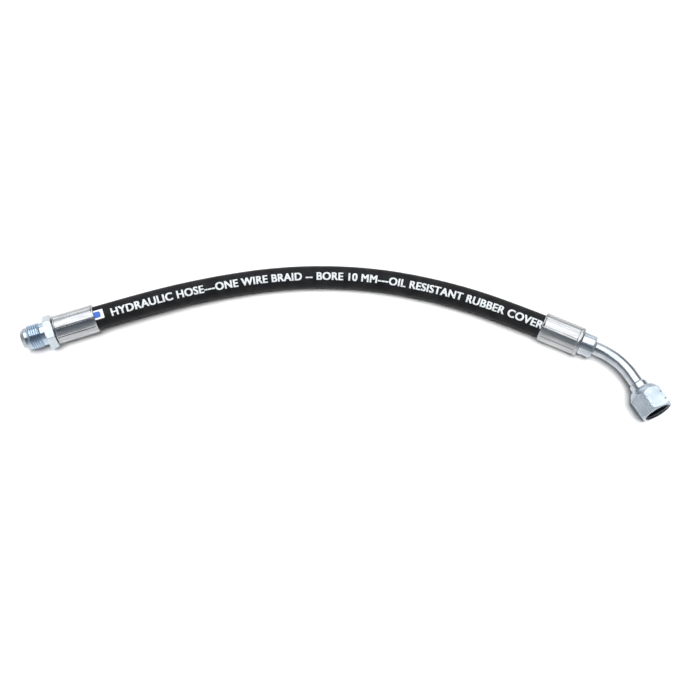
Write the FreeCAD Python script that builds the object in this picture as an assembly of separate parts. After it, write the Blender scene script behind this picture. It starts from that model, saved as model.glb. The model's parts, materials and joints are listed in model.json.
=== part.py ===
import FreeCAD, Part
import math
import os

# Hydraulic hose assembly: one-wire rubber hose, a straight male 37 degree flare
# fitting at one end and a swept 38 degree elbow with a female swivel nut at the other.
# Millimetres.  +Z is up and the assembly lies on the plane Z = 0.

# ---- hose -------------------------------------------------------------------
HOSE_BORE_R = 4.8
LINER_R = 6.45
BRAID_R = 7.2
COVER_R = 8.7
# The hose line, from its end in the male ferrule to its end in the elbow ferrule.
ROUTE = [
    (-208.3, 26.5, 12.8),
    (-154.6, 46.7, 12.8),
    (-98.6, 65.1, 10.2),
    (-39.6, 76.2, 8.9),
    (20.4, 75.3, 8.9),
    (77.4, 62.6, 9.6),
    (128.4, 41.9, 11.1),
    (175.9, 17.5, 11.1),
]
ARC_SHARE = 0.45

# ---- crimped ferrules, alike but for the turn of their ridges ----------------
ENGAGED = 27.0
FERRULE_LENGTH = 30.5
FERRULE_LAND_R = 10.35
FERRULE_RIDGE_R = 10.85
FERRULE_BORE_R = COVER_R
FERRULE_LIP = 3.0
CRIMP_LANDS = 8
MALE_CRIMP_TURN = -26.0
ELBOW_CRIMP_TURN = -12.0
CRIMP_START = 1.6
CRIMP_END = 28.0

# ---- barbed tails -----------------------------------------------------------
PASSAGE_R = 3.75
TAIL_TIP = 2.0
BARB_R = HOSE_BORE_R
BARB_ROOT_R = 4.45
BARB_COUNT = 5
BARB_PITCH = 4.4
LOCK_R = 6.5

# ---- male fitting -----------------------------------------------------------
MALE_GAP = 0.4
MALE_NECK_R = 7.8
MALE_HEX_FLATS = 22.2
MALE_HEX_WIDTH = 6.0
MALE_HEX_TURN = -25.1
UNDERCUT = 3.3
UNDERCUT_R = 8.6
THREAD_R = 9.525
THREAD_LENGTH = 9.5
THREAD_CHAMFER = 0.9
RELIEF_R = 8.3
RELIEF = 2.4
NOSE_FACE_R = 6.15
FLARE_ANGLE = 37.0

# ---- elbow ------------------------------------------------------------------
COLLAR_R = 8.5
COLLAR_LENGTH = 10.2
COLLAR_CHAMFER = 1.0
SOCKET_DEPTH = 6.0
TUBE_R = 5.0
TUBE_BORE_R = 3.5
BEND_ANGLE = 38.0
BEND_R = 46.0
LEAD_IN = 3.4
LEAD_OUT = 7.8
BRAZE = 0.9

# ---- seat head and swivel nut, measured along the head from its back face ---
NECK_R = 6.5
HEAD_SOCKET = 5.0
HEAD_SHOULDER = 7.4
HEAD_R = 8.4
HEAD_END = 14.4
SEAT_RIM_R = 8.0
NUT_START = 4.4
NUT_END = 24.8
NUT_BACK_R = 7.3
NUT_DOME_R = 10.7
NUT_DOME_END = 8.8
NUT_FLATS = 22.2
NUT_BORE_R = 8.8
NUT_THREAD_START = 15.1
NUT_RELIEF_R = 9.3
NUT_HOLE_R = 6.8
NUT_SHOULDER = 6.9
NUT_FACE_R = 10.8
MOUTH_CHAMFER = 0.9
MARK_R = 12.1
MARK_WIDTH = 1.1
MARKS = (14.8, 20.6)

CLEAR = 0.05
UP = FreeCAD.Vector(0, 0, 1)
ALONG = FreeCAD.Vector(1, 0, 0)
ORIGIN = FreeCAD.Vector(0, 0, 0)


def hex_corner_r(flats):
    return flats / math.sqrt(3.0)


def turned(points):
    """Solid of revolution about local X from (x, r) points."""
    corners = [FreeCAD.Vector(x, 0, r) for x, r in points]
    face = Part.Face(Part.makePolygon(corners + corners[:1]))
    return face.revolve(ORIGIN, ALONG, 360)


def round_bar(start, end, radius):
    return Part.makeCylinder(radius, end - start, FreeCAD.Vector(start, 0, 0), ALONG)


def hex_bar(start, end, flats, turn=0.0):
    """Six-sided bar along X with one flat facing up, then turned about X."""
    radius = hex_corner_r(flats)
    corners = []
    for k in range(6):
        angle = math.radians(60.0 * k + 30.0 + turn)
        corners.append(FreeCAD.Vector(start, -radius * math.sin(angle), radius * math.cos(angle)))
    face = Part.Face(Part.makePolygon(corners + corners[:1]))
    return face.extrude(FreeCAD.Vector(end - start, 0, 0))


def end_frame(end, inner):
    """Placement whose X leaves the hose at one end; its origin is the ferrule mouth."""
    outward = (end - inner).normalize()
    mouth = end - outward * ENGAGED
    heading = math.degrees(math.atan2(outward.y, outward.x))
    return FreeCAD.Placement(mouth, FreeCAD.Rotation(UP, heading))


# ---- hose layers ------------------------------------------------------------
def rounded_path(points):
    """Straight runs joined by tangent arcs, each as large as its two runs allow."""
    edges = []
    length = 0.0
    last = points[0]
    for before, here, after in zip(points, points[1:], points[2:]):
        way_in = here - before
        way_out = after - here
        half_turn = way_in.getAngle(way_out) / 2.0
        setback = ARC_SHARE * min(way_in.Length, way_out.Length)
        radius = setback / math.tan(half_turn)
        way_in.normalize()
        way_out.normalize()
        start = here - way_in * setback
        finish = here + way_out * setback
        inside = (way_out - way_in).normalize()
        middle = here + inside * (radius / math.cos(half_turn) - radius)
        edges.append(Part.LineSegment(last, start).toShape())
        edges.append(Part.Arc(start, middle, finish).toShape())
        length += (start - last).Length + radius * 2.0 * half_turn
        last = finish
        print("bend radius %.0f mm, turn %.1f degrees" % (radius, math.degrees(2 * half_turn)))
    edges.append(Part.LineSegment(last, points[-1]).toShape())
    length += (points[-1] - last).Length
    return Part.Wire(edges), length


def hose_layer(path, first_way, inner_r, outer_r):
    sections = []
    for radius in (outer_r, inner_r):
        circle = Part.makeCircle(radius, path.Vertexes[0].Point, first_way)
        sections.append(path.makePipeShell([Part.Wire(circle)], True, False))
    return sections[0].cut(sections[1])


# ---- parts of both ends -----------------------------------------------------
def ferrule(turn):
    """Crimped shell: shallow lands pressed into a round tube, with ridges between."""
    body = turned([
        (0.0, FERRULE_BORE_R + 0.2),
        (0.0, FERRULE_RIDGE_R - 0.4),
        (0.5, FERRULE_RIDGE_R),
        (FERRULE_LENGTH - 1.0, FERRULE_RIDGE_R),
        (FERRULE_LENGTH, FERRULE_RIDGE_R - 1.0),
        (FERRULE_LENGTH, LOCK_R + CLEAR),
        (FERRULE_LENGTH - FERRULE_LIP, LOCK_R + CLEAR),
        (FERRULE_LENGTH - FERRULE_LIP, FERRULE_BORE_R),
        (1.0, FERRULE_BORE_R),
    ])
    step = 2 * math.pi / CRIMP_LANDS
    reach = 3 * FERRULE_RIDGE_R
    block = Part.makeBox(CRIMP_END - CRIMP_START, 2 * reach, reach,
                         FreeCAD.Vector(CRIMP_START, -reach, FERRULE_LAND_R))
    for k in range(CRIMP_LANDS):
        cutter = block.copy()
        cutter.rotate(ORIGIN, ALONG, turn + math.degrees((k + 0.5) * step))
        body = body.cut(cutter)
    return body


def tail_outline():
    """Barbed tail, tip first, up to the shoulder the ferrule locks on."""
    outline = [(TAIL_TIP, PASSAGE_R), (TAIL_TIP, BARB_ROOT_R)]
    for k in range(BARB_COUNT):
        crest = TAIL_TIP + (k + 0.8) * BARB_PITCH
        outline.append((crest, BARB_R))
        outline.append((crest, BARB_ROOT_R))
    shoulder = FERRULE_LENGTH - FERRULE_LIP
    outline.append((shoulder, BARB_ROOT_R))
    outline.append((shoulder, LOCK_R))
    return outline


# ---- male fitting -----------------------------------------------------------
def male_stem():
    """One turned piece: flared nose, thread, hexagon and barbed tail."""
    neck = FERRULE_LENGTH
    hex_start = neck + MALE_GAP
    hex_end = hex_start + MALE_HEX_WIDTH
    thread_start = hex_end + UNDERCUT
    thread_end = thread_start + THREAD_LENGTH
    cone_start = thread_end + RELIEF
    cone_length = (RELIEF_R - NOSE_FACE_R) / math.tan(math.radians(FLARE_ANGLE))
    nose = cone_start + cone_length
    corner_r = hex_corner_r(MALE_HEX_FLATS)
    chamfer = 0.8
    outline = tail_outline() + [
        (neck, LOCK_R),
        (neck, MALE_NECK_R),
        (hex_start, MALE_NECK_R),
        (hex_start, UNDERCUT_R),
        (hex_end, UNDERCUT_R),
        (thread_start, UNDERCUT_R),
        (thread_start + THREAD_CHAMFER, THREAD_R),
        (thread_end - THREAD_CHAMFER, THREAD_R),
        (thread_end, RELIEF_R),
        (cone_start, RELIEF_R),
        (nose, NOSE_FACE_R),
        (nose, PASSAGE_R + 0.4),
        (nose - 0.4, PASSAGE_R),
    ]
    collar = hex_bar(hex_start, hex_end, MALE_HEX_FLATS, MALE_HEX_TURN)
    rounding = turned([
        (hex_start, 0.0),
        (hex_start, corner_r - 0.3),
        (hex_start + 0.3, corner_r),
        (hex_end - chamfer, corner_r),
        (hex_end, corner_r - chamfer),
        (hex_end, 0.0),
    ])
    collar = collar.common(rounding).cut(round_bar(hex_start, hex_end, UNDERCUT_R - 0.5))
    return turned(outline).fuse(collar).removeSplitter()


# ---- elbow ------------------------------------------------------------------
def elbow_stem():
    """Barbed tail and round collar with the socket that the bent tube is brazed into."""
    start = FERRULE_LENGTH
    end = start + COLLAR_LENGTH
    return turned(tail_outline() + [
        (start + CLEAR, LOCK_R),
        (start + CLEAR, COLLAR_R),
        (end - COLLAR_CHAMFER, COLLAR_R),
        (end, COLLAR_R - COLLAR_CHAMFER),
        (end, TUBE_R),
        (end - SOCKET_DEPTH, TUBE_R),
        (end - SOCKET_DEPTH, PASSAGE_R),
    ])


def elbow_path():
    """Centre line of the bent tube, from socket bottom to socket bottom."""
    start = FreeCAD.Vector(FERRULE_LENGTH + COLLAR_LENGTH, 0, 0)
    bend = math.radians(BEND_ANGLE)
    arc_start = start + ALONG * LEAD_IN
    centre = arc_start + FreeCAD.Vector(0, -BEND_R, 0)
    middle = centre + FreeCAD.Vector(math.sin(bend / 2), math.cos(bend / 2), 0) * BEND_R
    arc_end = centre + FreeCAD.Vector(math.sin(bend), math.cos(bend), 0) * BEND_R
    way_out = FreeCAD.Vector(math.cos(bend), -math.sin(bend), 0)
    head = arc_end + way_out * LEAD_OUT
    wire = Part.Wire([
        Part.LineSegment(start - ALONG * SOCKET_DEPTH, arc_start).toShape(),
        Part.Arc(arc_start, middle, arc_end).toShape(),
        Part.LineSegment(arc_end, head + way_out * HEAD_SOCKET).toShape(),
    ])
    return wire, start, head


def elbow_tube(path):
    shells = []
    for radius in (TUBE_R, TUBE_BORE_R):
        circle = Part.makeCircle(radius, path.Vertexes[0].Point, ALONG)
        shells.append(path.makePipeShell([Part.Wire(circle)], True, False))
    return shells[0].cut(shells[1])


def braze_fillet(face_x, side):
    """Small ring of braze where the tube leaves a socket; side +1 runs along X."""
    return turned([
        (face_x, TUBE_R),
        (face_x, TUBE_R + BRAZE),
        (face_x + side * 0.35 * BRAZE, TUBE_R + 0.35 * BRAZE),
        (face_x + side * BRAZE, TUBE_R),
    ])


def seat_head():
    """Turned head: neck ring, rear shoulder for the nut and a hollow 37 degree seat."""
    seat_depth = (SEAT_RIM_R - PASSAGE_R) / math.tan(math.radians(FLARE_ANGLE))
    rise = HEAD_R - NECK_R
    return turned([
        (0.0, TUBE_R),
        (0.0, NECK_R - 0.4),
        (0.4, NECK_R),
        (HEAD_SHOULDER, NECK_R),
        (HEAD_SHOULDER + rise, HEAD_R),
        (HEAD_END, HEAD_R),
        (HEAD_END, SEAT_RIM_R),
        (HEAD_END - seat_depth, PASSAGE_R),
        (HEAD_SOCKET, PASSAGE_R),
        (HEAD_SOCKET, TUBE_R),
    ])


def swivel_nut():
    """Six-sided nut: rolled-in back, relief round the head, bore at thread size, marked corners."""
    corner_r = hex_corner_r(NUT_FLATS)
    bar = hex_bar(NUT_START, NUT_END, NUT_FLATS)
    blank = turned([
        (NUT_START, 0.0),
        (NUT_START, NUT_BACK_R),
        (NUT_START + 0.5, NUT_BACK_R + 1.2),
        (NUT_START + 1.7, NUT_BACK_R + 2.4),
        (NUT_START + 3.2, NUT_DOME_R - 0.3),
        (NUT_DOME_END, NUT_DOME_R + 0.3),
        (NUT_DOME_END + 2.4, corner_r + 0.2),
        (NUT_END - 1.3, corner_r + 0.2),
        (NUT_END, NUT_FACE_R),
        (NUT_END, 0.0),
    ])
    inside = turned([
        (NUT_START - 1.0, 0.0),
        (NUT_START - 1.0, NUT_HOLE_R),
        (NUT_SHOULDER, NUT_HOLE_R),
        (NUT_SHOULDER + NUT_RELIEF_R - NUT_HOLE_R, NUT_RELIEF_R),
        (NUT_THREAD_START - NUT_RELIEF_R + NUT_BORE_R, NUT_RELIEF_R),
        (NUT_THREAD_START, NUT_BORE_R),
        (NUT_END - MOUTH_CHAMFER, NUT_BORE_R),
        (NUT_END, NUT_BORE_R + MOUTH_CHAMFER),
        (NUT_END + 1.0, NUT_BORE_R + MOUTH_CHAMFER),
        (NUT_END + 1.0, 0.0),
    ])
    nut = bar.common(blank).cut(inside)
    for mark in MARKS:
        ring = round_bar(mark - MARK_WIDTH / 2, mark + MARK_WIDTH / 2, corner_r + 1.0)
        ring = ring.cut(round_bar(mark - MARK_WIDTH, mark + MARK_WIDTH, MARK_R))
        nut = nut.cut(ring)
    return nut


# ---- assembly ---------------------------------------------------------------
def save(name, shape, placement=None):
    if placement is not None:
        shape.Placement = placement.multiply(shape.Placement)
    shape.exportStep("parts/" + name + ".step")
    print("%-14s solids %d  volume %9.1f mm3" % (name, len(shape.Solids), shape.Volume))
    return shape


def main():
    os.makedirs("parts", exist_ok=True)
    points = [FreeCAD.Vector(*p) for p in ROUTE]
    male = end_frame(points[0], points[1])
    elbow = end_frame(points[-1], points[-2])

    path, length = rounded_path(points)
    way = (points[1] - points[0]).normalize()
    layers = (
        ("hose_liner", HOSE_BORE_R, LINER_R),
        ("wire_braid", LINER_R, BRAID_R),
        ("hose_cover", BRAID_R, COVER_R),
    )
    for name, inner_r, outer_r in layers:
        shape = save(name, hose_layer(path, way, inner_r, outer_r))
        expected = math.pi * (outer_r ** 2 - inner_r ** 2) * length
        print("  section x length %.1f mm3, hose length %.1f mm" % (expected, length))
        assert abs(shape.Volume / expected - 1) < 0.005

    fixed = [
        save("male_stem", male_stem(), male),
        save("male_ferrule", ferrule(MALE_CRIMP_TURN), male),
        save("elbow_ferrule", ferrule(ELBOW_CRIMP_TURN), elbow),
        save("elbow_stem", elbow_stem(), elbow),
    ]
    tube_path, socket_face, head_point = elbow_path()
    fixed.append(save("elbow_tube", elbow_tube(tube_path), elbow))
    fixed.append(save("collar_braze", braze_fillet(socket_face.x, 1), elbow))
    head = elbow.multiply(FreeCAD.Placement(head_point, FreeCAD.Rotation(UP, -BEND_ANGLE)))
    fixed.append(save("head_braze", braze_fillet(0.0, -1), head))
    fixed.append(save("seat_head", seat_head(), head))
    fixed.append(save("swivel_nut", swivel_nut(), head))
    box = FreeCAD.BoundBox()
    for shape in fixed:
        box.add(shape.optimalBoundingBox(False))
    print("fittings box x %.2f..%.2f y %.2f..%.2f z %.2f..%.2f" % (
        box.XMin, box.XMax, box.YMin, box.YMax, box.ZMin, box.ZMax))
    for name, frame, x in (("male thread", male, 44.95), ("male nose", male, 54.95),
                           ("nut thread", head, 19.5), ("nut mouth", head, NUT_END)):
        point = frame.multVec(FreeCAD.Vector(x, 0, 0))
        axis = frame.Rotation.multVec(ALONG)
        print(name, [round(v, 4) for v in point], [round(v, 5) for v in axis])


main()
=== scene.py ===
import json
import math

import bmesh
import bpy
from mathutils import Matrix, Vector


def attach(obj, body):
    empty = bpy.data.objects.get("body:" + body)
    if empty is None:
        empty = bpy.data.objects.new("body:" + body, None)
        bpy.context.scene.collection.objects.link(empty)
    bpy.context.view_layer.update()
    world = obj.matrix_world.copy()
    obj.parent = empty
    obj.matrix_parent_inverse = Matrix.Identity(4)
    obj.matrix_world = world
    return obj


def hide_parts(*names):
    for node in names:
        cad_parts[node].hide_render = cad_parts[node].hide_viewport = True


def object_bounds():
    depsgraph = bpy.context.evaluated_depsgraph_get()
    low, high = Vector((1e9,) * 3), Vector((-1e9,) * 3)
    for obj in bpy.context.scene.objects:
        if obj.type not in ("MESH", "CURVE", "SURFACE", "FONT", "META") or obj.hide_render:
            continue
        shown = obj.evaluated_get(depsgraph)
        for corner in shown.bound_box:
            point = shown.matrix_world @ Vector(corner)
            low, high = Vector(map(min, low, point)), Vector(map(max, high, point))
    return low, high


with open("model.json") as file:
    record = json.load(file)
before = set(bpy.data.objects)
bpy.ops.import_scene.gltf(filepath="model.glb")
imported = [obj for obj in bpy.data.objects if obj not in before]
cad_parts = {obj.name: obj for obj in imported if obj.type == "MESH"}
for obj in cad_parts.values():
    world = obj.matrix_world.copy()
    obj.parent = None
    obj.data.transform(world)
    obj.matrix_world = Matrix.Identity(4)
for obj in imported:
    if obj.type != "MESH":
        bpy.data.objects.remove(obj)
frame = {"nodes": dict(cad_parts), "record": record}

CAD_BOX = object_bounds()
MM = 0.001
WELD = 1e-7
FIXED = "hose_assembly"
TURNING = "swivel_nut"

# ---- sizes in millimetres, as in the CAD source -------------------------------
ROUTE = [
    (-208.3, 26.5, 12.8),
    (-154.6, 46.7, 12.8),
    (-98.6, 65.1, 10.2),
    (-39.6, 76.2, 8.9),
    (20.4, 75.3, 8.9),
    (77.4, 62.6, 9.6),
    (128.4, 41.9, 11.1),
    (175.9, 17.5, 11.1),
]
COVER_R = 8.7
ENGAGED = 27.0

FERRULE_LENGTH = 30.5
LAND_R = 10.35
RIDGE_R = 10.85
CRIMP_LANDS = 8
MALE_CRIMP_TURN = -26.0
ELBOW_CRIMP_TURN = -12.0
MALE_RING = 29.0
ELBOW_RING = 27.4
LOCK_R = 6.5
LIP = 3.0

PASSAGE_R = 3.75
TAIL_TIP = 2.0
BARB_R = 4.8
BARB_ROOT_R = 4.45
BARB_COUNT = 5
BARB_PITCH = 4.4

HEX_FLATS = 22.2
HEX_FILLET = 0.35
MALE_HEX_TURN = -25.1
MALE_HEX = (30.9, 36.9)
NECK_R = 7.8
THREAD_PITCH = 25.4 / 16
MALE_THREAD = (40.2, 49.7)
THREAD_R = 9.525
THREAD_ROOT_R = 8.6
THREAD_END_SLOPE = 1.05
CONE = (52.1, 54.95)
CONE_R = (8.3, 6.15)
FLARE_ANGLE = 37.0

COLLAR_R = 8.5
COLLAR_LENGTH = 10.2
SOCKET_DEPTH = 6.0
TUBE_R = 5.0
TUBE_BORE_R = 3.5
BEND_ANGLE = 38.0
BEND_R = 46.0
LEAD_IN = 3.4
LEAD_OUT = 7.8
BRAZE = 0.9

HEAD_SOCKET = 5.0
HEAD_NECK_R = 6.5
HEAD_SHOULDER = 7.4
HEAD_R = 8.4
HEAD_END = 14.4
SEAT_RIM_R = 8.0
NUT = (4.4, 24.8)
NUT_FACE_R = 10.8
NUT_BORE_R = 8.8
NUT_ROOT_R = 9.6
NUT_THREAD = (15.1, 24.7)
NUT_THREAD_MIDDLE = 19.5
NUT_RELIEF_R = 9.3
NUT_RELIEF_START = 9.4
NUT_HOLE_R = 6.8
NUT_SHOULDER = 6.9
MOUTH_CHAMFER = 0.9
MARK_R = 12.1
MARK_WIDTH = 1.1
MARKS = (14.8, 20.6)
# (x, r) along the nut's rounded back, which runs out into the flats and corners
DOME = [
    (4.4, 7.3),
    (4.55, 7.9),
    (5.0, 8.6),
    (5.7, 9.25),
    (6.6, 9.85),
    (7.6, 10.35),
    (8.8, 11.0),
    (10.0, 11.9),
    (11.2, 12.95),
]


# ---- meshes -------------------------------------------------------------------
def on_axis(x, r, angle):
    """Point at x along local X, r from it and angle round it from +Z, right-handed."""
    return Vector((x * MM, -r * math.sin(angle) * MM, r * math.cos(angle) * MM))


def softened(points, size):
    """Every corner of a closed (x, r) outline cut by a small three-point curve."""
    out = []
    for i, here in enumerate(points):
        here = Vector(here)
        back = Vector(points[i - 1]) - here
        ahead = Vector(points[(i + 1) % len(points)]) - here
        start = here + back.normalized() * min(size, 0.4 * back.length)
        end = here + ahead.normalized() * min(size, 0.4 * ahead.length)
        for t in (0.0, 0.5, 1.0):
            curve = start * (1 - t) ** 2 + here * 2 * t * (1 - t) + end * t * t
            out.append(tuple(curve))
    return out


def add_skin(bm, columns, ring=True, shift=0):
    """Faces between columns of points that go round an axis.

    ring closes each column on itself; shift is how many rows the last column
    has climbed when it meets the first one, as on a thread.
    """
    grid = [[bm.verts.new(p) for p in column] for column in columns]
    rows = len(grid[0])
    for j, column in enumerate(grid):
        last = j == len(grid) - 1
        after = grid[0] if last else grid[j + 1]
        step = shift if last else 0
        for i in range(rows if ring else rows - 1 - step):
            k = (i + 1) % rows
            corners = [column[i], column[k], after[(k + step) % rows], after[(i + step) % rows]]
            bm.faces.new(corners)


def add_turned(bm, outline, soft=0.15, wobble=None):
    """Closed ring of (x, r) points swept round local X."""
    outline = softened(outline, soft)
    around = 128
    columns = []
    for j in range(around):
        angle = 2 * math.pi * j / around
        bump = wobble(angle) if wobble else 0.0
        columns.append([on_axis(x, r + bump, angle) for x, r in outline])
    add_skin(bm, columns)


def hex_outline(turn=0.0, extra=()):
    """(angle, radius) round a hexagon with slightly rounded corners.

    extra holds radii at which each flat gets a point as well.
    """
    half = HEX_FLATS / 2
    fillet = HEX_FILLET
    centre = (half - fillet) / math.cos(math.pi / 6)
    reach = centre * math.sin(math.pi / 6)
    steps = 7
    outline = []
    for k in range(6):
        middle = math.radians(60 * k + turn)
        along = [reach * i / steps for i in range(-steps, steps + 1)]
        for radius in extra:
            edge = math.sqrt(radius ** 2 - half ** 2)
            along += [-edge, edge]
        for u in sorted(along):
            outline.append((middle + math.atan2(u, half), math.hypot(half, u)))
        for t in (-15, 0, 15):
            lean = math.radians(30 + t)
            y = reach + fillet * math.sin(lean)
            x = half - fillet + fillet * math.cos(lean)
            if t:
                outline.append((middle + math.atan2(y, x), math.hypot(x, y)))
            else:
                outline.append((middle + math.pi / 6, centre + fillet))
    return sorted(set(outline))


def add_hex(bm, outline, profile):
    """Closed shell over a hexagonal outline; profile(radius) is a ring of (x, r)."""
    add_skin(bm, [[on_axis(x, r, angle) for x, r in profile(radius)] for angle, radius in outline])


def add_thread(bm, span, crest, root, limit, core):
    """Right-handed helical thread; limit(x, r) trims it and core is the radius it ends on."""
    pitch = THREAD_PITCH
    # one turn's section as (share of the pitch, radius)
    form = ((0.0, root), (0.06, root), (0.38, crest), (0.62, crest), (0.94, root))
    around = 120
    start, end = span
    turns = math.ceil((end - start) / pitch)
    columns = []
    for j in range(around):
        share = j / around
        column = []
        for k in range(-1, turns + 1):
            for phase, r in form:
                x = start + pitch * (k + phase + share)
                if start < x < end:
                    column.append((x, limit(x, r)))
                else:
                    column.append((min(max(x, start), end), core))
        columns.append([on_axis(x, r, 2 * math.pi * share) for x, r in column])
    add_skin(bm, columns, ring=False, shift=len(form))


def new_piece(name, bm, material, place=None, body=FIXED, nodes=(), sharp=38.0):
    """Object from a bmesh, shaded smooth between edges sharper than `sharp` degrees."""
    bmesh.ops.remove_doubles(bm, verts=bm.verts, dist=WELD)
    bmesh.ops.dissolve_degenerate(bm, edges=bm.edges, dist=WELD)
    bmesh.ops.recalc_face_normals(bm, faces=bm.faces)
    mesh = bpy.data.meshes.new(name)
    bm.to_mesh(mesh)
    bm.free()
    mesh.shade_smooth()
    mesh.set_sharp_from_angle(angle=math.radians(sharp))
    mesh.materials.append(material)
    piece = bpy.data.objects.new(name, mesh)
    bpy.context.scene.collection.objects.link(piece)
    shading = piece.modifiers.new("flat_faces_stay_flat", "WEIGHTED_NORMAL")
    shading.keep_sharp = True
    if place is not None:
        piece.matrix_world = place
    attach(piece, body)
    if nodes:
        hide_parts(*nodes)
    return piece


# ---- materials ----------------------------------------------------------------
def node_material(name):
    material = bpy.data.materials.new(name)
    material.use_nodes = True
    tree = material.node_tree
    shader = next(n for n in tree.nodes if n.type == "BSDF_PRINCIPLED")
    return material, tree, shader


def noise_at(tree, scale, detail):
    """Noise factor in the piece's own space; scale is one number or three, per metre."""
    if isinstance(scale, float):
        scale = (scale,) * 3
    coords = tree.nodes.new("ShaderNodeTexCoord")
    mapping = tree.nodes.new("ShaderNodeMapping")
    mapping.inputs["Scale"].default_value = scale
    pattern = tree.nodes.new("ShaderNodeTexNoise")
    pattern.inputs["Scale"].default_value = 1.0
    pattern.inputs["Detail"].default_value = detail
    pattern.inputs["Roughness"].default_value = 0.55
    tree.links.new(coords.outputs["Object"], mapping.inputs["Vector"])
    tree.links.new(mapping.outputs["Vector"], pattern.inputs["Vector"])
    return pattern.outputs["Fac"]


def ramp(tree, factor, stops):
    """Colour ramp through (position, value or colour) stops."""
    node = tree.nodes.new("ShaderNodeValToRGB")
    elements = node.color_ramp.elements
    while len(elements) < len(stops):
        elements.new(0.5)
    for element, (position, value) in zip(elements, stops):
        element.position = position
        colour = (value,) * 3 if isinstance(value, float) else value
        element.color = (*colour, 1.0)
    tree.links.new(factor, node.inputs["Fac"])
    return node.outputs["Color"]


def add_bump(tree, shader, height, strength, distance, before=None):
    bump = tree.nodes.new("ShaderNodeBump")
    bump.inputs["Strength"].default_value = strength
    bump.inputs["Distance"].default_value = distance
    tree.links.new(height, bump.inputs["Height"])
    if before is not None:
        tree.links.new(before, bump.inputs["Normal"])
    tree.links.new(bump.outputs["Normal"], shader.inputs["Normal"])
    return bump.outputs["Normal"]


def plated_metal(name, dark, bright, roughness, grain, lines, depth, cloud=90.0):
    """Plated metal.

    The colour clouds between dark and bright, the roughness runs between its two
    values on the pattern `lines`, and both that pattern and a fine grain stand
    `depth` metres proud.
    """
    material, tree, shader = node_material(name)
    shader.inputs["Metallic"].default_value = 1.0
    clouds = noise_at(tree, cloud, detail=4.0)
    tree.links.new(ramp(tree, clouds, [(0.35, dark), (0.65, bright)]), shader.inputs["Base Color"])
    tooling = noise_at(tree, lines, detail=2.0)
    low, high = roughness
    tree.links.new(ramp(tree, tooling, [(0.3, low), (0.7, high)]), shader.inputs["Roughness"])
    first = add_bump(tree, shader, tooling, 0.35, depth)
    add_bump(tree, shader, noise_at(tree, grain, detail=2.0), 0.25, depth, first)
    return material


def rubber(name):
    """Black cover rubber: a faint dusty cloud, an uneven sheen and a fine cloth grain."""
    material, tree, shader = node_material(name)
    shader.inputs["Specular IOR Level"].default_value = 0.09
    clouds = noise_at(tree, 120.0, detail=5.0)
    tone = ramp(tree, clouds, [(0.35, (0.008, 0.0085, 0.0095)), (0.7, (0.017, 0.0175, 0.0185))])
    tree.links.new(tone, shader.inputs["Base Color"])
    sheen = noise_at(tree, 300.0, detail=4.0)
    tree.links.new(ramp(tree, sheen, [(0.3, 0.42), (0.7, 0.56)]), shader.inputs["Roughness"])
    first = add_bump(tree, shader, sheen, 0.25, 0.0001)
    add_bump(tree, shader, noise_at(tree, 2600.0, detail=2.0), 0.3, 0.00004, first)
    return material


def ink(name, colour, edge):
    """Thin printed or paper film with slight unevenness."""
    material, tree, shader = node_material(name)
    blotch = noise_at(tree, 900.0, detail=4.0)
    tree.links.new(ramp(tree, blotch, [(0.3, edge), (0.6, colour)]), shader.inputs["Base Color"])
    shader.inputs["Roughness"].default_value = 0.55
    add_bump(tree, shader, blotch, 0.2, 0.00002)
    return material


def floor_surface():
    material, tree, shader = node_material("floor_white")
    cloud = noise_at(tree, 3.0, detail=1.0)
    tone = ramp(tree, cloud, [(0.0, (0.90, 0.90, 0.90)), (1.0, (0.92, 0.92, 0.92))])
    tree.links.new(tone, shader.inputs["Base Color"])
    shader.inputs["Roughness"].default_value = 0.28
    shader.inputs["Specular IOR Level"].default_value = 0.25
    return material


# noise scales per metre: X runs along each fitting, so RINGS go round it
RINGS = (2600.0, 70.0, 70.0)
STREAKS = (70.0, 1500.0, 1500.0)
LONG_CLOUDS = (60.0, 700.0, 700.0)
EVEN = 400.0

ZINC = plated_metal(
    "zinc_turned", (0.41, 0.45, 0.49), (0.53, 0.57, 0.61), (0.14, 0.22), 5000.0, RINGS, 0.00002)
HEX_ZINC = plated_metal(
    "zinc_hexagon", (0.50, 0.56, 0.60), (0.60, 0.66, 0.70), (0.20, 0.28), 4000.0, EVEN, 0.00003)
THREAD_ZINC = plated_metal(
    "zinc_thread", (0.44, 0.53, 0.63), (0.56, 0.65, 0.74), (0.15, 0.22), 5000.0, RINGS, 0.00002)
FERRULE_ZINC = plated_metal(
    "zinc_crimped", (0.36, 0.37, 0.38), (0.52, 0.53, 0.54), (0.14, 0.26), 4000.0, STREAKS, 0.00008,
    LONG_CLOUDS)
TUBE_ZINC = plated_metal(
    "zinc_tube", (0.42, 0.455, 0.49), (0.53, 0.565, 0.60), (0.14, 0.20), 3000.0, EVEN, 0.00003)
NUT_ZINC = plated_metal(
    "zinc_nut", (0.36, 0.415, 0.47), (0.50, 0.56, 0.625), (0.20, 0.32), 3500.0, STREAKS, 0.00004)
# dark metal for the nut's inside: painted shade, made much darker than the plating so the bore and
# thread look shaded
BORE_PAINTED_SHADE = plated_metal(
    "zinc_bore_painted_shade", (0.09, 0.10, 0.115), (0.17, 0.18, 0.20), (0.24, 0.36), 3500.0, RINGS, 0.00003)
BRAZE_METAL = plated_metal(
    "zinc_braze", (0.30, 0.31, 0.32), (0.44, 0.45, 0.45), (0.28, 0.40), 3000.0, EVEN, 0.00006)
BRAID_METAL = plated_metal(
    "braid_wire", (0.42, 0.36, 0.24), (0.62, 0.55, 0.40), (0.28, 0.42), 4000.0, EVEN, 0.00008)
RUBBER = rubber("rubber_black")
LINER_RUBBER = rubber("rubber_liner")
WHITE_INK = ink("ink_white", (0.72, 0.76, 0.78), (0.50, 0.53, 0.55))
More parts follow.
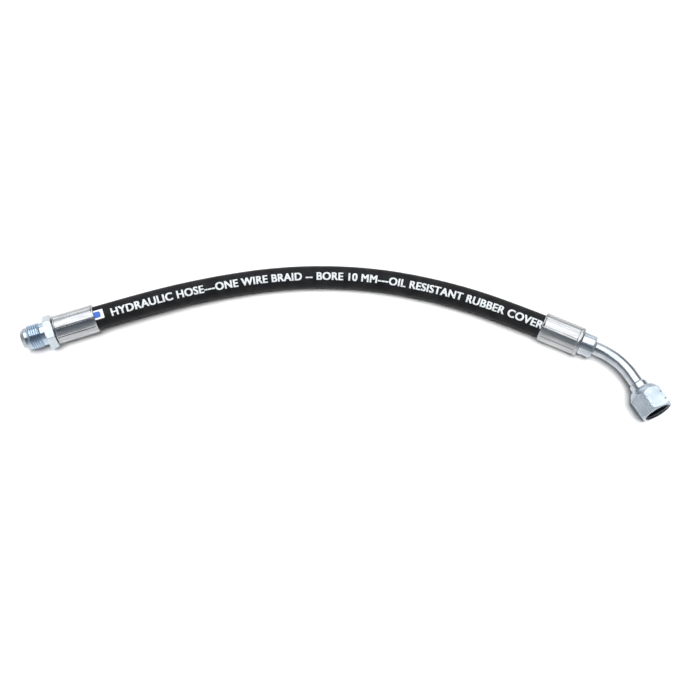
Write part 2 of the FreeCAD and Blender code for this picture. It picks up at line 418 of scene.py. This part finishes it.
LABEL_PAPER = ink("label_white", (0.90, 0.91, 0.93), (0.80, 0.82, 0.86))
LABEL_BLUE = ink("label_blue", (0.035, 0.13, 0.55), (0.03, 0.10, 0.42))


# ---- places -------------------------------------------------------------------
def end_frame(end, inner):
    """X leaves the hose at one end; the origin is at the ferrule's mouth."""
    outward = (Vector(end) - Vector(inner)).normalized()
    mouth = Vector(end) - outward * ENGAGED
    return Matrix.Translation(mouth * MM) @ Matrix.Rotation(math.atan2(outward.y, outward.x), 4, "Z")


def head_frame():
    """X runs along the swivel nut; the origin is at the head's back face."""
    mount = next(m for m in frame["record"]["mounts"] if m["name"] == "nut_thread")
    axis = Vector(mount["axis"])
    origin = Vector(mount["pos_m"]) - axis * NUT_THREAD_MIDDLE * MM
    return Matrix.Translation(origin) @ Matrix.Rotation(math.atan2(axis.y, axis.x), 4, "Z")


MALE = end_frame(ROUTE[0], ROUTE[1])
ELBOW = end_frame(ROUTE[-1], ROUTE[-2])
HEAD = head_frame()


# ---- camera, light and floor --------------------------------------------------
LOOK_AT = Vector((4.15, 20.0, 0.0)) * MM
ELEVATION = math.radians(60.0)
DISTANCE = 0.650
FOCAL_WIDTHS = 861.0 / 690.0
SENSOR_WIDTH = 36.0
SKY = [
    (0.0, (0.86, 0.87, 0.88)),
    (0.10, (0.52, 0.54, 0.56)),
    (0.45, (0.30, 0.33, 0.37)),
    (0.72, (0.14, 0.165, 0.20)),
    (1.0, (0.11, 0.13, 0.16)),
]
FLOOR_HALF = 6.0
FLOOR_GAP = 0.0001


def make_camera():
    data = bpy.data.cameras.new("camera")
    data.sensor_width = SENSOR_WIDTH
    data.lens = SENSOR_WIDTH * FOCAL_WIDTHS
    data.clip_start = 0.01
    data.clip_end = 50.0
    camera = bpy.data.objects.new("camera", data)
    bpy.context.scene.collection.objects.link(camera)
    back = Vector((0.0, -math.cos(ELEVATION), math.sin(ELEVATION)))
    camera.location = LOOK_AT + back * DISTANCE
    camera.rotation_mode = "QUATERNION"
    camera.rotation_quaternion = (-back).to_track_quat("-Z", "Y")
    bpy.context.scene.camera = camera


def aim_lamp(lamp, place, target, spin=0.0):
    """Point a lamp at a target, then turn it `spin` degrees about the vertical."""
    bpy.context.scene.collection.objects.link(lamp)
    lamp.location = place
    lamp.rotation_mode = "QUATERNION"
    aim = (Vector(target) - Vector(place)).to_track_quat("-Z", "Y")
    lamp.rotation_quaternion = Matrix.Rotation(math.radians(spin), 3, "Z").to_quaternion() @ aim


def softbox(name, place, target, size, radiance, spin=0.0):
    """Rectangular lamp of a given radiance that only gloss reflects."""
    data = bpy.data.lights.new(name, "AREA")
    data.shape = "RECTANGLE"
    data.size, data.size_y = size
    data.energy = radiance * math.pi * size[0] * size[1]
    lamp = bpy.data.objects.new(name, data)
    lamp.visible_diffuse = False
    aim_lamp(lamp, place, target, spin)


def overhead(name, place, target, spread, strength):
    """Soft far lamp that lights matt surfaces evenly and gloss does not reflect."""
    data = bpy.data.lights.new(name, "SUN")
    data.angle = math.radians(spread)
    data.energy = strength
    lamp = bpy.data.objects.new(name, data)
    lamp.visible_glossy = False
    aim_lamp(lamp, place, target)


def make_world():
    """Studio surroundings that only gloss sees: pale at the horizon, dim overhead."""
    world = bpy.data.worlds.new("studio")
    world.use_nodes = True
    tree = world.node_tree
    background = next(n for n in tree.nodes if n.type == "BACKGROUND")
    coords = tree.nodes.new("ShaderNodeTexCoord")
    split = tree.nodes.new("ShaderNodeSeparateXYZ")
    tree.links.new(coords.outputs["Generated"], split.inputs["Vector"])
    tree.links.new(ramp(tree, split.outputs["Z"], SKY), background.inputs["Color"])
    background.inputs["Strength"].default_value = 1.0
    bpy.context.scene.world = world
    world.cycles_visibility.diffuse = False


def make_floor():
    bm = bmesh.new()
    bmesh.ops.create_grid(bm, x_segments=8, y_segments=8, size=FLOOR_HALF)
    mesh = bpy.data.meshes.new("floor")
    bm.to_mesh(mesh)
    bm.free()
    mesh.materials.append(floor_surface())
    floor = bpy.data.objects.new("floor", mesh)
    bpy.context.scene.collection.objects.link(floor)
    floor.location = (0.0, 0.0, CAD_BOX[0].z - FLOOR_GAP)


# ---- hose ---------------------------------------------------------------------
def hose_curve(name, thick):
    """The route as one smooth open spline; thick is its radius in millimetres, or 0."""
    data = bpy.data.curves.new(name, "CURVE")
    data.dimensions = "3D"
    data.resolution_u = 24
    data.bevel_depth = thick * MM
    data.bevel_resolution = 18
    data.use_fill_caps = thick > 0
    spline = data.splines.new("NURBS")
    spline.points.add(len(ROUTE) - 1)
    for point, place in zip(spline.points, ROUTE):
        point.co = (*(Vector(place) * MM), 1.0)
    spline.order_u = 3
    spline.use_endpoint_u = True
    curve = bpy.data.objects.new(name, data)
    bpy.context.scene.collection.objects.link(curve)
    return curve


def hose_line():
    """Points along the hose's centre line, read from its spline."""
    curve = hose_curve("hose_line", 0.0)
    bpy.context.view_layer.update()
    graph = bpy.context.evaluated_depsgraph_get()
    mesh = bpy.data.meshes.new_from_object(curve.evaluated_get(graph))
    points = [v.co.copy() for v in mesh.vertices]
    bpy.data.objects.remove(curve)
    bpy.data.meshes.remove(mesh)
    return points


class HoseLine:
    """Places on the hose's skin by distance along it and angle round it."""

    def __init__(self):
        self.points = hose_line()
        self.along = [0.0]
        for a, b in zip(self.points, self.points[1:]):
            self.along.append(self.along[-1] + (b - a).length)

    def skin(self, distance, angle, radius):
        """Point at distance and radius in metres; angle leans from straight up to the front."""
        i = 1
        while i < len(self.along) - 1 and self.along[i] < distance:
            i += 1
        a, b = self.points[i - 1], self.points[i]
        share = (distance - self.along[i - 1]) / (self.along[i] - self.along[i - 1])
        before = self.points[max(i - 2, 0)]
        after = self.points[min(i + 1, len(self.points) - 1)]
        tangent = (a - before).lerp(after - b, share) + (b - a)
        tangent.normalize()
        side = Vector((0, 0, 1)).cross(tangent).normalized()
        up = tangent.cross(side)
        return a.lerp(b, share) + (up * math.cos(angle) - side * math.sin(angle)) * radius


def make_hose():
    cover = hose_curve("hose_cover_rubber", COVER_R)
    cover.data.materials.append(RUBBER)
    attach(cover, FIXED)
    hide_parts("hose_cover")


# ---- print and label on the hose ----------------------------------------------
PRINT_TEXT = ("HYDRAULIC HOSE---ONE WIRE BRAID -- BORE 10 MM---"
              "OIL RESISTANT RUBBER COVER")
PRINT_SPAN = (39.6, 376.0)
PRINT_HEIGHT = 5.8
PRINT_ROWS = 12
LETTER_SPACING = 1.06
BOLDER = 0.30
COPY_LIFT = 0.006
PRINT_ANGLE = math.radians(28.0)
PRINT_LIFT = 0.04

LABEL_SPAN = (26.2, 33.9)
LABEL_ANGLES = (math.radians(-4.0), math.radians(44.0))
LABEL_LIFT = 0.05
BAR_SPAN = (26.3, 31.6)
BAR_HALF_ANGLE = 0.27
BAR_LIFT = 0.08


def print_mesh():
    """Bold lettering as a flat mesh centred on X, cut finely enough to bend round the hose."""
    data = bpy.data.curves.new("print_flat", "FONT")
    data.body = PRINT_TEXT
    data.space_character = LETTER_SPACING
    text = bpy.data.objects.new("print_flat", data)
    bpy.context.scene.collection.objects.link(text)
    bpy.context.view_layer.update()
    graph = bpy.context.evaluated_depsgraph_get()
    mesh = bpy.data.meshes.new_from_object(text.evaluated_get(graph))
    bpy.data.objects.remove(text)
    bm = bmesh.new()
    bm.from_mesh(mesh)
    bpy.data.meshes.remove(mesh)
    low = Vector((min(v.co.x for v in bm.verts), min(v.co.y for v in bm.verts)))
    high = Vector((max(v.co.x for v in bm.verts), max(v.co.y for v in bm.verts)))
    start, end = PRINT_SPAN
    wide = (end - start) / (high.x - low.x)
    tall = PRINT_HEIGHT / (high.y - low.y)
    for v in bm.verts:
        v.co = Vector((start + (v.co.x - low.x) * wide, (v.co.y - low.y) * tall - PRINT_HEIGHT / 2, 0))
    for i in range(1, PRINT_ROWS):
        level = -PRINT_HEIGHT / 2 + PRINT_HEIGHT * i / PRINT_ROWS
        parts = bm.verts[:] + bm.edges[:] + bm.faces[:]
        bmesh.ops.bisect_plane(bm, geom=parts, plane_co=(0, level, 0), plane_no=(0, 1, 0))
    bmesh.ops.triangulate(bm, faces=bm.faces)
    # shifted copies, each lying just over the last, make the strokes bolder
    strokes = bm.verts[:] + bm.edges[:] + bm.faces[:]
    for i, (along, across) in enumerate(((-1, -1), (-1, 1), (1, -1), (1, 1))):
        copied = bmesh.ops.duplicate(bm, geom=strokes)["geom"]
        moved = [v for v in copied if isinstance(v, bmesh.types.BMVert)]
        shift = (along * BOLDER, across * BOLDER / 2, COPY_LIFT * (i + 1))
        bmesh.ops.translate(bm, verts=moved, vec=shift)
    return bm


def make_print(line):
    bm = print_mesh()
    for v in bm.verts:
        angle = PRINT_ANGLE - v.co.y / COVER_R
        v.co = line.skin(v.co.x * MM, angle, (COVER_R + PRINT_LIFT + v.co.z) * MM)
    new_piece("hose_print", bm, WHITE_INK)


def patch(line, span, angles, lift, cut):
    """Rectangle of film on the hose's skin, its far corners trimmed by cut."""
    start, end = span
    angle_low, angle_high = angles
    bm = bmesh.new()
    steps, rounds = 10, 16
    grid = []
    for i in range(steps + 1):
        row = []
        for j in range(rounds + 1):
            angle = angle_low + (angle_high - angle_low) * j / rounds
            edge = min(j, rounds - j) * (angle_high - angle_low) / rounds * COVER_R
            stop = end - max(0.0, cut - edge)
            along = start + (stop - start) * i / steps
            row.append(bm.verts.new(line.skin(along * MM, angle, (COVER_R + lift) * MM)))
        grid.append(row)
    for i in range(steps):
        for j in range(rounds):
            bm.faces.new((grid[i][j], grid[i + 1][j], grid[i + 1][j + 1], grid[i][j + 1]))
    return bm


def make_label(line):
    new_piece("hose_label", patch(line, LABEL_SPAN, LABEL_ANGLES, LABEL_LIFT, 0.5), LABEL_PAPER)
    middle = sum(LABEL_ANGLES) / 2
    bar_angles = (middle - BAR_HALF_ANGLE, middle + BAR_HALF_ANGLE)
    new_piece("hose_label_bar", patch(line, BAR_SPAN, bar_angles, BAR_LIFT, 0.8), LABEL_BLUE)


# ---- fittings -----------------------------------------------------------------
def smoothstep(low, high, value):
    t = min(max((value - low) / (high - low), 0.0), 1.0)
    return t * t * (3 - 2 * t)


def bell(value, middle, width):
    return math.exp(-((value - middle) / width) ** 2)


def crimp_radius(angle, turn):
    """Radius of the crimped stretch: round die lands with a thin ridge between each pair."""
    step = 2 * math.pi / CRIMP_LANDS
    off = (angle - math.radians(turn)) % step - step / 2
    land = (LAND_R + 0.08) / math.cos(0.42 * off)
    degrees_off_ridge = math.degrees(step / 2 - abs(off))
    return land + 0.20 * bell(degrees_off_ridge, 0.0, 1.3) - 0.05 * bell(degrees_off_ridge, 4.0, 1.6)


def make_ferrule(name, place, node, turn, ring):
    """Crimped shell: die lands, an uncrimped round ring from `ring` on, a lip on the stem."""
    front = [(0.0, COVER_R + 0.35), (0.0, RIDGE_R - 0.45), (0.25, RIDGE_R - 0.1)]
    pressed = [0.5, 0.8, 1.1, 1.5, 2.0, 2.6, 3.4, 6.0, 10.0, 14.0, 18.0, 22.0,
               ring - 0.8, ring - 0.4, ring - 0.2]
    back = [(ring, LAND_R + 0.05), (ring + 0.2, RIDGE_R - 0.15), (ring + 0.4, RIDGE_R), (29.7, RIDGE_R),
            (29.9, RIDGE_R - 0.06), (30.2, RIDGE_R - 0.5), (FERRULE_LENGTH, RIDGE_R - 1.0)]
    inside = [(FERRULE_LENGTH, LOCK_R + 0.1), (FERRULE_LENGTH - LIP, LOCK_R + 0.1),
              (FERRULE_LENGTH - LIP, COVER_R + 0.05), (0.9, COVER_R + 0.05)]
    around = 720
    columns = []
    for j in range(around):
        angle = 2 * math.pi * j / around
        depth = crimp_radius(angle, turn) - RIDGE_R
        crimped = [(x, RIDGE_R + depth * smoothstep(0.3, 2.0, x)) for x in pressed]
        columns.append([on_axis(x, r, angle) for x, r in front + crimped + back + inside])
    bm = bmesh.new()
    add_skin(bm, columns)
    new_piece(name, bm, FERRULE_ZINC, place, nodes=[node], sharp=45.0)


def tail_outline():
    """Barbed tail, tip first, up to the shoulder the ferrule locks on."""
    outline = [(TAIL_TIP, PASSAGE_R), (TAIL_TIP, BARB_ROOT_R)]
    for k in range(BARB_COUNT):
        crest = TAIL_TIP + (k + 0.8) * BARB_PITCH
        outline += [(crest, BARB_R), (crest, BARB_ROOT_R)]
    shoulder = FERRULE_LENGTH - LIP
    return outline + [(shoulder, BARB_ROOT_R), (shoulder, LOCK_R)]


def male_hex_profile(radius):
    """Hexagon section: nearly square at the back, turned chamfer at the front."""
    start, end = MALE_HEX
    corner = HEX_FLATS / math.sqrt(3)
    back = min(radius, corner - 0.35)
    front = min(radius, corner - 1.1)
    chamfer = (radius - front) * 0.62
    return softened([
        (start, NECK_R - 0.3),
        (start, back),
        (start + (radius - back), radius),
        (end - chamfer, radius),
        (end, front),
        (end, THREAD_ROOT_R - 0.3),
    ], 0.12)


def make_male_stem():
    bm = bmesh.new()
    start, end = MALE_HEX
    first, last = MALE_THREAD
    cone_start, nose = CONE
    relief_r, nose_r = CONE_R
    core = THREAD_ROOT_R - 0.05
    add_turned(bm, tail_outline() + [
        (FERRULE_LENGTH, LOCK_R),
        (FERRULE_LENGTH, NECK_R),
        (start + 1.0, NECK_R),
        (start + 1.0, core),
        (last + 0.2, core),
        (last + 0.4, relief_r),
        (cone_start, relief_r),
        (nose, nose_r),
        (nose, PASSAGE_R + 0.6),
        (nose - 0.6, PASSAGE_R),
    ])
    add_hex(bm, hex_outline(MALE_HEX_TURN), male_hex_profile)

    def trim(x, r):
        chamfer = THREAD_END_SLOPE * min(x - first, last - x)
        return min(r, THREAD_ROOT_R + chamfer)

    add_thread(bm, MALE_THREAD, THREAD_R, THREAD_ROOT_R, trim, THREAD_ROOT_R - 0.3)
    piece = new_piece("male_stem_turned", bm, ZINC, MALE, nodes=["male_stem"])
    piece.data.materials.append(THREAD_ZINC)
    piece.data.materials.append(HEX_ZINC)
    for face in piece.data.polygons:
        x = face.center.x / MM
        if first - 0.2 < x < last + 0.2:
            face.material_index = 1
        elif start - 0.1 < x < end + 0.1:
            face.material_index = 2


def make_elbow_stem():
    bm = bmesh.new()
    start = FERRULE_LENGTH + 0.05
    end = FERRULE_LENGTH + COLLAR_LENGTH
    add_turned(bm, tail_outline() + [
        (start, LOCK_R),
        (start, COLLAR_R - 0.3),
        (start + 0.3, COLLAR_R),
        (end - 1.0, COLLAR_R),
        (end, COLLAR_R - 1.0),
        (end, TUBE_R),
        (end - SOCKET_DEPTH, TUBE_R),
        (end - SOCKET_DEPTH, PASSAGE_R),
    ])
    new_piece("elbow_collar", bm, ZINC, ELBOW, nodes=["elbow_stem"])


def elbow_stations():
    """(centre, heading, share of bend) along the bent tube, in the elbow's frame."""
    start = FERRULE_LENGTH + COLLAR_LENGTH
    bend = math.radians(BEND_ANGLE)
    arc_start = start + LEAD_IN
    stations = [((start - SOCKET_DEPTH, 0.0), 0.0, 0.0), ((arc_start - 0.5, 0.0), 0.0, 0.0)]
    steps = 72
    for i in range(steps + 1):
        turn = bend * i / steps
        centre = (arc_start + BEND_R * math.sin(turn), -BEND_R * (1 - math.cos(turn)))
        stations.append((centre, turn, i / steps))
    (x, y), _, _ = stations[-1]
    for reach in (0.5, LEAD_OUT, LEAD_OUT + HEAD_SOCKET - 0.05):
        stations.append(((x + reach * math.cos(bend), y - reach * math.sin(bend)), bend, 1.0))
    return stations


def tube_radius(share, angle):
    """Slight ovality in the bend, with a shallow pinch on one side and a rise after it."""
    oval = 0.10 * math.sin(math.pi * share) * math.cos(2 * angle)
    pinch = 0.22 * bell(share, 0.56, 0.05) - 0.08 * bell(share, 0.70, 0.06)
    return TUBE_R + oval - pinch * bell(angle, math.pi / 2, 0.65)


def make_elbow_tube():
    bm = bmesh.new()
    around = 96
    outer, inner = [], []
    for j in range(around):
        angle = 2 * math.pi * j / around
        skin, bore = [], []
        for (x, y), heading, share in elbow_stations():
            sideways = Vector((math.sin(heading), math.cos(heading), 0.0))
            for column, r in ((skin, tube_radius(share, angle)), (bore, TUBE_BORE_R)):
                offset = -sideways * r * math.sin(angle) + Vector((0, 0, r * math.cos(angle)))
                column.append((Vector((x, y, 0)) + offset) * MM)
        outer.append(skin)
        inner.append(bore)
    add_skin(bm, [skin + bore[::-1] for skin, bore in zip(outer, inner)])
    new_piece("elbow_tube_bent", bm, TUBE_ZINC, ELBOW, nodes=["elbow_tube"])


def make_braze(name, place, face, side, node):
    """Ring of braze: a concave fillet, a little uneven round the joint."""
    outline = [(face - side * 0.05, TUBE_R - 0.1), (face - side * 0.05, TUBE_R + BRAZE)]
    for t in (0.0, 0.25, 0.5, 0.75, 1.0):
        lean = math.radians(90 * t)
        reach = face + side * BRAZE * (1 - math.cos(lean))
        outline.append((reach, TUBE_R + BRAZE * (1 - math.sin(lean))))
    outline.append((face + side * BRAZE, TUBE_R - 0.1))
    bm = bmesh.new()

    def wobble(angle):
        return 0.05 * math.sin(5 * angle + 1.0) + 0.04 * math.sin(11 * angle)

    add_turned(bm, outline, soft=0.05, wobble=wobble)
    new_piece(name, bm, BRAZE_METAL, place, nodes=[node])


def make_seat_head():
    seat_depth = (SEAT_RIM_R - PASSAGE_R) / math.tan(math.radians(FLARE_ANGLE))
    rise = HEAD_R - HEAD_NECK_R
    bm = bmesh.new()
    add_turned(bm, [
        (0.0, TUBE_R),
        (0.0, HEAD_NECK_R - 0.5),
        (0.5, HEAD_NECK_R),
        (HEAD_SHOULDER, HEAD_NECK_R),
        (HEAD_SHOULDER + rise, HEAD_R),
        (HEAD_END, HEAD_R),
        (HEAD_END, SEAT_RIM_R),
        (HEAD_END - seat_depth, PASSAGE_R),
        (HEAD_SOCKET, PASSAGE_R),
        (HEAD_SOCKET, TUBE_R),
    ])
    new_piece("seat_head_turned", bm, ZINC, HEAD, nodes=["seat_head"])


def dome_reach(radius):
    """x at which the nut's rounded back comes out to a radius."""
    for (x0, r0), (x1, r1) in zip(DOME, DOME[1:]):
        if radius <= r1:
            return x0 + (x1 - x0) * (radius - r0) / (r1 - r0)
    return DOME[-1][0]


def dome_radius(x):
    for (x0, r0), (x1, r1) in zip(DOME, DOME[1:]):
        if x <= x1:
            return r0 + (r1 - r0) * (x - x0) / (x1 - x0)
    return DOME[-1][1]


def nut_profile(radius):
    """One section of the nut at a given outside radius, flat or corner."""
    start, end = NUT
    back = dome_reach(radius)
    dome_xs = [start + (back - start) * i / 14 for i in range(14)]
    ring = [(x, dome_radius(x)) for x in dome_xs] + [(back, radius), (back + 0.3, radius)]
    grooved = min(radius, MARK_R)
    for mark in MARKS:
        low, high = mark - MARK_WIDTH / 2, mark + MARK_WIDTH / 2
        ring += [(low, radius), (low + 0.15, grooved), (high - 0.15, grooved), (high, radius)]
    face = min(radius, NUT_FACE_R)
    turn = end - (radius - face) * 0.6
    ring += [
        (turn - 0.15, radius),
        (turn + 0.1 * (end - turn), radius - 0.08 * (radius - face)),
        (end, face),
    ]
    inner = NUT_ROOT_R + 0.08
    thread_start = NUT_THREAD[0]
    return ring + [
        (end, inner + 0.04),
        (end - 0.05, inner),
        (thread_start - 0.1, inner),
        (thread_start - 0.6, NUT_RELIEF_R),
        (NUT_RELIEF_START, NUT_RELIEF_R),
        (NUT_SHOULDER, NUT_HOLE_R),
        (start, NUT_HOLE_R),
    ]


def make_nut():
    bm = bmesh.new()
    add_hex(bm, hex_outline(extra=(MARK_R,)), nut_profile)

    def trim(x, r):
        return max(r, NUT_BORE_R + max(0.0, x - NUT[1] + MOUTH_CHAMFER))

    add_thread(bm, NUT_THREAD, NUT_BORE_R, NUT_ROOT_R, trim, NUT_ROOT_R + 0.2)
    piece = new_piece("swivel_nut_threaded", bm, NUT_ZINC, HEAD, body=TURNING, nodes=["swivel_nut"],
                      sharp=52.0)
    piece.data.materials.append(BORE_PAINTED_SHADE)
    # faces inside the nut's bore and thread take the dark material: painted shade in the hollow
    for face in piece.data.polygons:
        from_axis = math.hypot(face.center.y, face.center.z) / MM
        if from_axis < NUT_ROOT_R + 0.3 and face.center.x / MM > 7.0:
            face.material_index = 1


def finish_cad_nodes():
    """Hidden layers of the hose keep their CAD shape and get their own materials."""
    for node, material in (("hose_liner", LINER_RUBBER), ("wire_braid", BRAID_METAL)):
        for slot in frame["nodes"][node].material_slots:
            slot.material = material


make_camera()
make_world()
make_hose()
make_floor()
# lamps: place, target and size in metres
softbox("softbox_top", (-0.31, 0.64, 2.0), (-0.31, 0.64, 0.0), (3.6, 2.4), 2.1, spin=30.0)
softbox("softbox_back", (-0.2, 2.5, 1.35), (0.0, 0.0, 0.3), (4.4, 1.4), 1.05)
overhead("lamp_overhead", (0.0, -0.60, 2.15), (0.0, 0.0, 0.0), 38.0, 4.2)
line = HoseLine()
make_print(line)
make_label(line)
make_ferrule("male_ferrule_crimped", MALE, "male_ferrule", MALE_CRIMP_TURN, MALE_RING)
make_ferrule("elbow_ferrule_crimped", ELBOW, "elbow_ferrule", ELBOW_CRIMP_TURN, ELBOW_RING)
make_male_stem()
make_elbow_stem()
make_elbow_tube()
make_braze("collar_braze_ring", ELBOW, FERRULE_LENGTH + COLLAR_LENGTH, 1, "collar_braze")
make_braze("head_braze_ring", HEAD, 0.0, -1, "head_braze")
make_seat_head()
make_nut()
finish_cad_nodes()
bpy.context.scene.view_settings.view_transform = "Standard"
